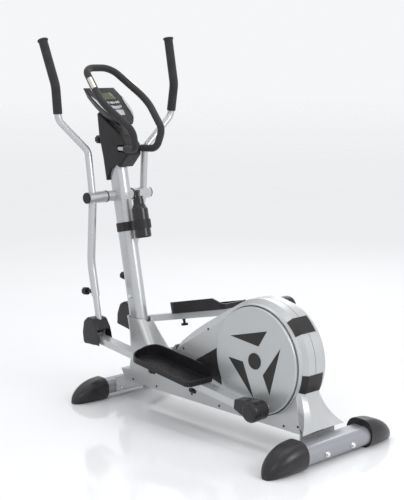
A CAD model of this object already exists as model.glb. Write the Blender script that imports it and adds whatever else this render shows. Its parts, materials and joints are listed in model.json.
import bmesh
import bpy
import json
import math
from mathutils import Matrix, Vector

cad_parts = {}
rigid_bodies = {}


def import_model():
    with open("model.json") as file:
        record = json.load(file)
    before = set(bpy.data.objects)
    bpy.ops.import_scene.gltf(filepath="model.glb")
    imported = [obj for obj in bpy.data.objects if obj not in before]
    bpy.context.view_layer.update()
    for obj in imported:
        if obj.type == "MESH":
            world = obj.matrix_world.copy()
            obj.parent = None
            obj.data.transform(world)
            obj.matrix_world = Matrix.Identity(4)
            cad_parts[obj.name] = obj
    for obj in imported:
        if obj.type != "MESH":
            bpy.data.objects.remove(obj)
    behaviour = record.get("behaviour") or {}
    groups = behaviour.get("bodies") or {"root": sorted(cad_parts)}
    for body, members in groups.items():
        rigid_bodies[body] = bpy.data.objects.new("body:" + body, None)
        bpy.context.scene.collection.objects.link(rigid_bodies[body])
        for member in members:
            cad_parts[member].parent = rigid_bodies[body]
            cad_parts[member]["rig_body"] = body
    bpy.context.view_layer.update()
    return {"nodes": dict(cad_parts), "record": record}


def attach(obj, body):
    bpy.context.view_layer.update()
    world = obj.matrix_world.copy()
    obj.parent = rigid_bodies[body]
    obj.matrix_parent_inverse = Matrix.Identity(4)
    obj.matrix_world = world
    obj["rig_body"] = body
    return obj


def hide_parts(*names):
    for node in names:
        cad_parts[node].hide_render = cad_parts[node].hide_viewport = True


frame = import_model()
nodes = frame["nodes"]

# %% [markdown]
# # Elliptical trainer
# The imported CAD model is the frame: it already holds every tube, cover and wheel at its true size.
# This script gives each piece its finish, rounds the soft and moulded pieces, and adds thin dark joint lines.
# Modelling the machine again would only drift away from the moving model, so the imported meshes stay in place.

# %%
# ---- places that the scene needs, in metres ----
REAR_X = -0.674
CRANK = Vector((REAR_X + 0.314, 0.0, 0.333))
CAMERA_PLACE = Vector((REAR_X - 2.6794, 3.2028, 1.5013))
CAMERA_LOOK = Vector((0.7166, -0.6776, -0.1654))
CAMERA_LENS = 81.29
SIDES = (("left", 1), ("right", -1))

# %% [markdown]
# ## Camera
# A catalogue picture of a machine this tall is taken from a few metres away with a long lens.
# Its lines then stay nearly parallel. A short lens close by would fit it in too, but would swell the rear foot.

# %%
camera_data = bpy.data.cameras.new("camera")
camera_data.lens = CAMERA_LENS
camera_data.sensor_width = 36.0
camera = bpy.data.objects.new("camera", camera_data)
bpy.context.scene.collection.objects.link(camera)
camera.location = CAMERA_PLACE
camera.rotation_euler = CAMERA_LOOK.to_track_quat("-Z", "Y").to_euler()
bpy.context.scene.camera = camera
bpy.context.scene.view_settings.view_transform = "Standard"
bpy.context.scene.view_settings.look = "None"
print("camera", camera.location[:], "lens", camera_data.lens)

# %% [markdown]
# ## Soft light
# Small lamps would give hard spots on the lacquer. Four wide panels give long soft highlights on the tubes.
# The pale world behind them fills the shadows.

# %%


def panel(name, place, aim, size, power):
    """A soft square light that faces a point."""
    data = bpy.data.lights.new(name, "AREA")
    data.shape = "RECTANGLE"
    data.size = size[0]
    data.size_y = size[1]
    data.energy = power
    light = bpy.data.objects.new(name, data)
    light.location = place
    light.rotation_euler = (Vector(aim) - Vector(place)).to_track_quat("-Z", "Y").to_euler()
    bpy.context.scene.collection.objects.link(light)


panel("key", (-1.2, 3.4, 3.4), (0.0, 0.0, 0.7), (2.6, 2.2), 27)
panel("top", (0.4, -0.4, 4.2), (0.0, 0.0, 0.4), (3.2, 2.6), 26)
panel("back_fill", (-3.6, -0.6, 2.2), (-0.2, 0.0, 0.6), (1.8, 2.0), 58)
panel("far_rim", (1.8, -3.2, 2.6), (0.0, 0.0, 0.8), (2.2, 2.0), 22)

world = bpy.data.worlds.new("studio")
bpy.context.scene.world = world
world.use_nodes = True
background = world.node_tree.nodes["Background"]
background.inputs["Color"].default_value = (0.913, 0.921, 0.938, 1.0)
background.inputs["Strength"].default_value = 1.0

# %% [markdown]
# ## Tools for the finishes
# Each finish is built from nodes: a base colour that varies a little, a roughness pattern and a fine relief.
# Picture textures could do the same, but nodes in object space need no unwrapping and never show a seam.

# %%


def new_material(name):
    """A node material, its Principled shader and its node tree."""
    material = bpy.data.materials.new(name)
    material.use_nodes = True
    tree = material.node_tree
    return material, tree.nodes["Principled BSDF"], tree


def coordinates(tree, scale, stretch=(1.0, 1.0, 1.0)):
    """Object coordinates, scaled."""
    source = tree.nodes.new("ShaderNodeTexCoord")
    mapping = tree.nodes.new("ShaderNodeMapping")
    mapping.inputs["Scale"].default_value = [scale * s for s in stretch]
    tree.links.new(source.outputs["Object"], mapping.inputs["Vector"])
    return mapping.outputs["Vector"]


def noise(tree, scale, detail=3.0, stretch=(1.0, 1.0, 1.0)):
    """A noise texture in object space."""
    texture = tree.nodes.new("ShaderNodeTexNoise")
    texture.inputs["Scale"].default_value = 1.0
    texture.inputs["Detail"].default_value = detail
    tree.links.new(coordinates(tree, scale, stretch), texture.inputs["Vector"])
    return texture.outputs["Fac"]


def ramp(tree, source, low, high, start=0.3, end=0.7):
    """Maps a value to a range between two numbers."""
    node = tree.nodes.new("ShaderNodeMapRange")
    node.inputs["From Min"].default_value = start
    node.inputs["From Max"].default_value = end
    node.inputs["To Min"].default_value = low
    node.inputs["To Max"].default_value = high
    tree.links.new(source, node.inputs["Value"])
    return node.outputs["Result"]


def mixed(tree, factor, first, second):
    """Mix of two colours by a factor."""
    node = tree.nodes.new("ShaderNodeMix")
    node.data_type = "RGBA"
    node.inputs[6].default_value = (*first, 1.0)
    node.inputs[7].default_value = (*second, 1.0)
    tree.links.new(factor, node.inputs[0])
    return node.outputs[2]


def relief(tree, shader, height, strength, distance):
    """Bump from a height value."""
    node = tree.nodes.new("ShaderNodeBump")
    node.inputs["Strength"].default_value = strength
    node.inputs["Distance"].default_value = distance
    tree.links.new(height, node.inputs["Height"])
    tree.links.new(node.outputs["Normal"], shader.inputs["Normal"])


# %% [markdown]
# ## Silver lacquer
# The frame, the handles and the housing are sprayed with silver paint that holds fine metal flakes.
# A plain grey metal would look like bare steel. Tiny cells in two close greys, under a thin clear coat,
# give the sparkle of paint.

# %%


FLAKE_CELLS = 1400.0
ORANGE_PEEL = 260.0


def metallic_paint(name, base, dark, metallic, rough, coat):
    """Silver lacquer: flake sparkle, faint mottling and a slight orange-peel relief."""
    material, shader, tree = new_material(name)
    flakes = tree.nodes.new("ShaderNodeTexVoronoi")
    tree.links.new(coordinates(tree, FLAKE_CELLS), flakes.inputs["Vector"])
    flakes.inputs["Scale"].default_value = 1.0
    sparkle = ramp(tree, flakes.outputs["Distance"], 0.0, 1.0, 0.0, 0.9)
    tree.links.new(mixed(tree, sparkle, base, dark), shader.inputs["Base Color"])
    tree.links.new(ramp(tree, noise(tree, 9.0), rough - 0.04, rough + 0.05), shader.inputs["Roughness"])
    shader.inputs["Metallic"].default_value = metallic
    shader.inputs["Coat Weight"].default_value = coat
    shader.inputs["Coat Roughness"].default_value = 0.16
    relief(tree, shader, noise(tree, ORANGE_PEEL, 2.0), 0.05, 0.0004)
    return material


# %% [markdown]
# ## Moulded dark plastic
# End caps, covers and pedals are moulded in a steel tool with a faint grain.
# The grain is a weak bump, and the colour is a little lighter where hands and shoes rub it.

# %%


MOULD_GRAIN = 900.0


def grained_plastic(name, base, light, rough, strength=0.18, coat=0.0):
    """Moulded dark plastic: fine spark-eroded grain with lighter scuffs on its high spots."""
    material, shader, tree = new_material(name)
    scuffs = ramp(tree, noise(tree, 14.0, 6.0), 0.0, 1.0, 0.46, 0.78)
    tree.links.new(mixed(tree, scuffs, base, light), shader.inputs["Base Color"])
    tree.links.new(ramp(tree, noise(tree, 40.0), rough - 0.05, rough + 0.08), shader.inputs["Roughness"])
    shader.inputs["Coat Weight"].default_value = coat
    shader.inputs["Coat Roughness"].default_value = 0.25
    shader.inputs["Specular IOR Level"].default_value = 0.32
    relief(tree, shader, noise(tree, MOULD_GRAIN, 2.0), strength, 0.0005)
    return material


# %% [markdown]
# ## Foam
# The sleeves are closed-cell foam: matt, with small pits and a slight velvety edge.
# Cells give the pits and sheen gives the edge.

# %%


FOAM_CELLS = 520.0


def foam(name):
    """Closed-cell foam sleeve: pitted skin that scatters light."""
    material, shader, tree = new_material(name)
    cells = tree.nodes.new("ShaderNodeTexVoronoi")
    cells.inputs["Scale"].default_value = 1.0
    tree.links.new(coordinates(tree, FOAM_CELLS), cells.inputs["Vector"])
    shade = ramp(tree, noise(tree, 22.0, 5.0), 0.0, 1.0)
    tree.links.new(mixed(tree, shade, (0.013, 0.0115, 0.0125), (0.022, 0.02, 0.0215)), shader.inputs["Base Color"])
    shader.inputs["Roughness"].default_value = 0.82
    shader.inputs["Sheen Weight"].default_value = 0.12
    shader.inputs["Sheen Roughness"].default_value = 0.5
    relief(tree, shader, cells.outputs["Distance"], 0.35, 0.0006)
    return material


# %% [markdown]
# ## Bare and plated metal
# Bolts are zinc plated and the pulse plates are brushed. Fine stretched noise stands for the machining lines.

# %%


MACHINING_LINES = 700.0


def bare_metal(name, base, rough, stretch=(1.0, 1.0, 1.0)):
    """Bare or plated metal with fine machining lines."""
    material, shader, tree = new_material(name)
    lines = noise(tree, MACHINING_LINES, 2.0, stretch)
    dark = tuple(0.8 * c for c in base)
    tree.links.new(mixed(tree, ramp(tree, lines, 0.0, 1.0), base, dark), shader.inputs["Base Color"])
    shader.inputs["Metallic"].default_value = 1.0
    tree.links.new(ramp(tree, lines, rough - 0.05, rough + 0.08), shader.inputs["Roughness"])
    relief(tree, shader, lines, 0.06, 0.0003)
    return material


# %% [markdown]
# ## Display
# The console has a grey-green display under a clear window.
# A brick pattern gives faint unlit segments without any lettering.

# %%


def display(name):
    """Grey-green display behind a clear window, with faint unlit segments as plain bars."""
    material, shader, tree = new_material(name)
    bars = tree.nodes.new("ShaderNodeTexBrick")
    bars.inputs["Scale"].default_value = 1.0
    bars.inputs["Color1"].default_value = (0.0, 0.0, 0.0, 1.0)
    bars.inputs["Color2"].default_value = (0.15, 0.15, 0.15, 1.0)
    bars.inputs["Mortar"].default_value = (1.0, 1.0, 1.0, 1.0)
    bars.inputs["Mortar Size"].default_value = 0.06
    tree.links.new(coordinates(tree, 90.0), bars.inputs["Vector"])
    blend = ramp(tree, bars.outputs["Fac"], 0.0, 0.35, 0.0, 1.0)
    tree.links.new(mixed(tree, blend, (0.12, 0.14, 0.095), (0.2, 0.225, 0.165)), shader.inputs["Base Color"])
    shader.inputs["Roughness"].default_value = 0.12
    shader.inputs["Coat Weight"].default_value = 0.8
    relief(tree, shader, noise(tree, 120.0), 0.02, 0.0002)
    return material


# %% [markdown]
# ## The finishes of this machine
# One material for each real finish. The foot tubes are a little darker and bluer than the post,
# and the trims are brighter.

# %%
silver = metallic_paint("silver_paint", (0.57, 0.58, 0.59), (0.46, 0.47, 0.48), 0.55, 0.3, 0.35)
foot_silver = metallic_paint("foot_paint", (0.35, 0.355, 0.385), (0.28, 0.285, 0.31), 0.55, 0.36, 0.3)
shell_silver = metallic_paint("shell_silver", (0.54, 0.55, 0.555), (0.45, 0.46, 0.465), 0.5, 0.34, 0.3)
disc_silver = metallic_paint("disc_silver", (0.53, 0.545, 0.55), (0.45, 0.465, 0.47), 0.5, 0.32, 0.3)
trim_silver = metallic_paint("trim_silver", (0.62, 0.63, 0.66), (0.5, 0.51, 0.54), 0.5, 0.26, 0.5)
charcoal = grained_plastic("charcoal_plastic", (0.013, 0.0115, 0.013), (0.02, 0.018, 0.02), 0.4, strength=0.06)
accent = grained_plastic("accent_plastic", (0.018, 0.017, 0.017), (0.028, 0.026, 0.026), 0.36, strength=0.04)
tread = grained_plastic("tread_plastic", (0.009, 0.008, 0.0095), (0.015, 0.0135, 0.0155), 0.36, strength=0.05)
gloss_black = grained_plastic("gloss_black", (0.007, 0.0065, 0.0075), (0.011, 0.01, 0.0115), 0.22, strength=0.03,
                              coat=0.4)
cap_plastic = grained_plastic("cap_plastic", (0.014, 0.0125, 0.015), (0.022, 0.02, 0.024), 0.32, strength=0.04,
                              coat=0.15)
grip_foam = foam("grip_foam")
steel = bare_metal("bare_steel", (0.55, 0.55, 0.56), 0.32)
zinc = bare_metal("zinc_plate", (0.82, 0.82, 0.84), 0.18)
plate_metal = bare_metal("pulse_plate", (0.76, 0.72, 0.64), 0.24, (1.0, 1.0, 0.1))
iron = bare_metal("turned_iron", (0.25, 0.25, 0.26), 0.42)
rubber = grained_plastic("belt_rubber", (0.012, 0.012, 0.012), (0.02, 0.02, 0.02), 0.7)
screen_glass = display("screen_glass")

print(len(bpy.data.materials), "finishes")

# %% [markdown]
# ## Finish for every node
# The record gives each node a material slot. A few nodes take a closer match than their slot gives.

# %%
FINISHES = {
    "silver_paint": silver, "foot_paint": foot_silver, "silver_plastic": shell_silver, "dark_plastic": charcoal,
    "dark_foam": grip_foam, "steel": steel, "zinc": zinc, "plates": plate_metal, "screen": screen_glass,
    "keys": trim_silver, "pulley": rubber, "iron": iron, "belt": rubber, "bottle": gloss_black,
}
SPECIAL = {
    "left_crank_disc": disc_silver, "right_crank_disc": disc_silver, "casing_strips": accent,
    "left_disc_inserts": accent, "right_disc_inserts": accent, "left_pedal": tread, "right_pedal": tread,
    "front_end_caps": cap_plastic, "rear_end_caps": cap_plastic, "console_trims": trim_silver,
    "left_crank_cover": cap_plastic, "right_crank_cover": cap_plastic,
}

for part in frame["record"]["subparts"]:
    node = nodes[part["node"]]
    finish = SPECIAL.get(part["node"], FINISHES[part["material_slot"]])
    node.data.materials.clear()
    node.data.materials.append(finish)
print(len(nodes), "nodes have a finish")

# %% [markdown]
# ## Foam sleeves and moulded covers
# The foam grips are soft tubes, and the joint covers are domed mouldings.
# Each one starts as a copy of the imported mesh: a voxel remesh gives even faces, and smoothing rounds the corners.

# %%


def bake(piece):
    """Turns a piece's modifiers into its mesh."""
    graph = bpy.context.evaluated_depsgraph_get()
    finished = bpy.data.meshes.new_from_object(piece.evaluated_get(graph))
    piece.modifiers.clear()
    piece.data = finished
    for face in finished.polygons:
        face.use_smooth = True


def softened(node_name, piece_name, voxel, passes, finish):
    """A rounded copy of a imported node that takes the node's place."""
    node = nodes[node_name]
    piece = bpy.data.objects.new(piece_name, node.data.copy())
    bpy.context.scene.collection.objects.link(piece)
    remesh = piece.modifiers.new("even_faces", "REMESH")
    remesh.mode = "VOXEL"
    remesh.voxel_size = voxel
    rounding = piece.modifiers.new("rounding", "SMOOTH")
    rounding.factor = 0.5
    rounding.iterations = passes
    bake(piece)
    piece.data.materials.clear()
    piece.data.materials.append(finish)
    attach(piece, node["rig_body"])
    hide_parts(node_name)
    print(piece_name, len(piece.data.polygons), "faces")
    return piece


FOAM_VOXEL = 0.0024
FOAM_PASSES = 3
JOINT_VOXEL = 0.002
JOINT_PASSES = 70
CRANK_COVER_VOXEL = 0.0016
CRANK_COVER_PASSES = 14

for side_name, side in SIDES:
    grip = softened(f"{side_name}_handle_grip", f"{side_name}_foam_grip", FOAM_VOXEL, FOAM_PASSES, grip_foam)
    softened(f"{side_name}_joint_cover", f"{side_name}_joint_boot", JOINT_VOXEL, JOINT_PASSES, cap_plastic)
    softened(f"{side_name}_crank_cover", f"{side_name}_crank_boot", CRANK_COVER_VOXEL, CRANK_COVER_PASSES,
             cap_plastic)
loop_sleeve = softened("loop_foam", "loop_sleeve", FOAM_VOXEL, FOAM_PASSES, grip_foam)

# %% [markdown]
# ## Gap line round each disc, and the seam of the housing
# The disc turns inside a ring, and the gap shows as a dark line.
# The two housing halves meet in a dark seam on the rim. Thin bands show both better than a painted line would.

# %%


def arc_band(name, radius_in, radius_out, y_in, y_out, start, end, steps, finish):
    """A closed band of rectangular section about the crank's axis, on the frame."""
    corners = []
    faces = []
    closed = abs(end - start) > 359.9
    count = steps if closed else steps + 1
    for index in range(count):
        angle = math.radians(start + (end - start) * index / steps)
        across = Vector((math.cos(angle), 0.0, math.sin(angle)))
        for radius, y in ((radius_in, y_in), (radius_out, y_in), (radius_out, y_out), (radius_in, y_out)):
            corners.append(CRANK + across * radius + Vector((0.0, y, 0.0)))
    for index in range(steps):
        here = 4 * index
        there = 4 * ((index + 1) % count)
        for edge in range(4):
            after = (edge + 1) % 4
            faces.append((here + edge, here + after, there + after, there + edge))
    if not closed:
        faces.append((3, 2, 1, 0))
        last = 4 * steps
        faces.append((last, last + 1, last + 2, last + 3))
    mesh = bpy.data.meshes.new(name)
    mesh.from_pydata(corners, [], faces)
    mesh.validate()
    working = bmesh.new()
    working.from_mesh(mesh)
    bmesh.ops.recalc_face_normals(working, faces=working.faces)
    working.to_mesh(mesh)
    working.free()
    mesh.materials.append(finish)
    band = bpy.data.objects.new(name, mesh)
    bpy.context.scene.collection.objects.link(band)
    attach(band, "frame")


gap_shade = grained_plastic("gap_shade", (0.006, 0.006, 0.006), (0.009, 0.009, 0.009), 0.8, strength=0.02)
DISC_EDGE = 0.2173
RING_EDGE = 0.2207
SIDE_FACE = 0.0662
GAP_DEPTH = 0.0062
ROUND_STEPS = 180
for side_name, side in SIDES:
    arc_band(f"{side_name}_gap_line", DISC_EDGE, RING_EDGE, side * SIDE_FACE, side * (SIDE_FACE + GAP_DEPTH),
             0.0, 360.0, ROUND_STEPS, gap_shade)

SEAM_RADIUS = 0.243
SEAM_SINK = 0.0015
SEAM_PROUD = 0.0003
SEAM_HALF = 0.0006
SEAM_STEPS = 60
SEAM_ARCS = (("upper_seam", 72.0, 128.0), ("rear_seam", 147.0, 184.0))
for name, start, end in SEAM_ARCS:
    arc_band(name, SEAM_RADIUS - SEAM_SINK, SEAM_RADIUS + SEAM_PROUD, -SEAM_HALF, SEAM_HALF, start, end,
             SEAM_STEPS, gap_shade)
print("gap lines and", len(SEAM_ARCS), "seams")

# %% [markdown]
# ## Floor
# The machine stands on a smooth pale floor that mirrors it softly. One large plane with low roughness gives that.

# %%
floor_mesh = bpy.data.meshes.new("floor")
HALF = 30.0
floor_corners = [(-HALF, -HALF, 0), (HALF, -HALF, 0), (HALF, HALF, 0), (-HALF, HALF, 0)]
floor_mesh.from_pydata(floor_corners, [], [(0, 1, 2, 3)])
floor = bpy.data.objects.new("floor", floor_mesh)
bpy.context.scene.collection.objects.link(floor)
floor_finish, floor_shader, floor_tree = new_material("floor_finish")
floor_shade = mixed(floor_tree, noise(floor_tree, 1.5), (0.8, 0.805, 0.815), (0.83, 0.835, 0.845))
floor_tree.links.new(floor_shade, floor_shader.inputs["Base Color"])
floor_gloss = ramp(floor_tree, noise(floor_tree, 4.0), 0.07, 0.12)
floor_tree.links.new(floor_gloss, floor_shader.inputs["Roughness"])
floor_mesh.materials.append(floor_finish)
print("floor", floor.dimensions[:])
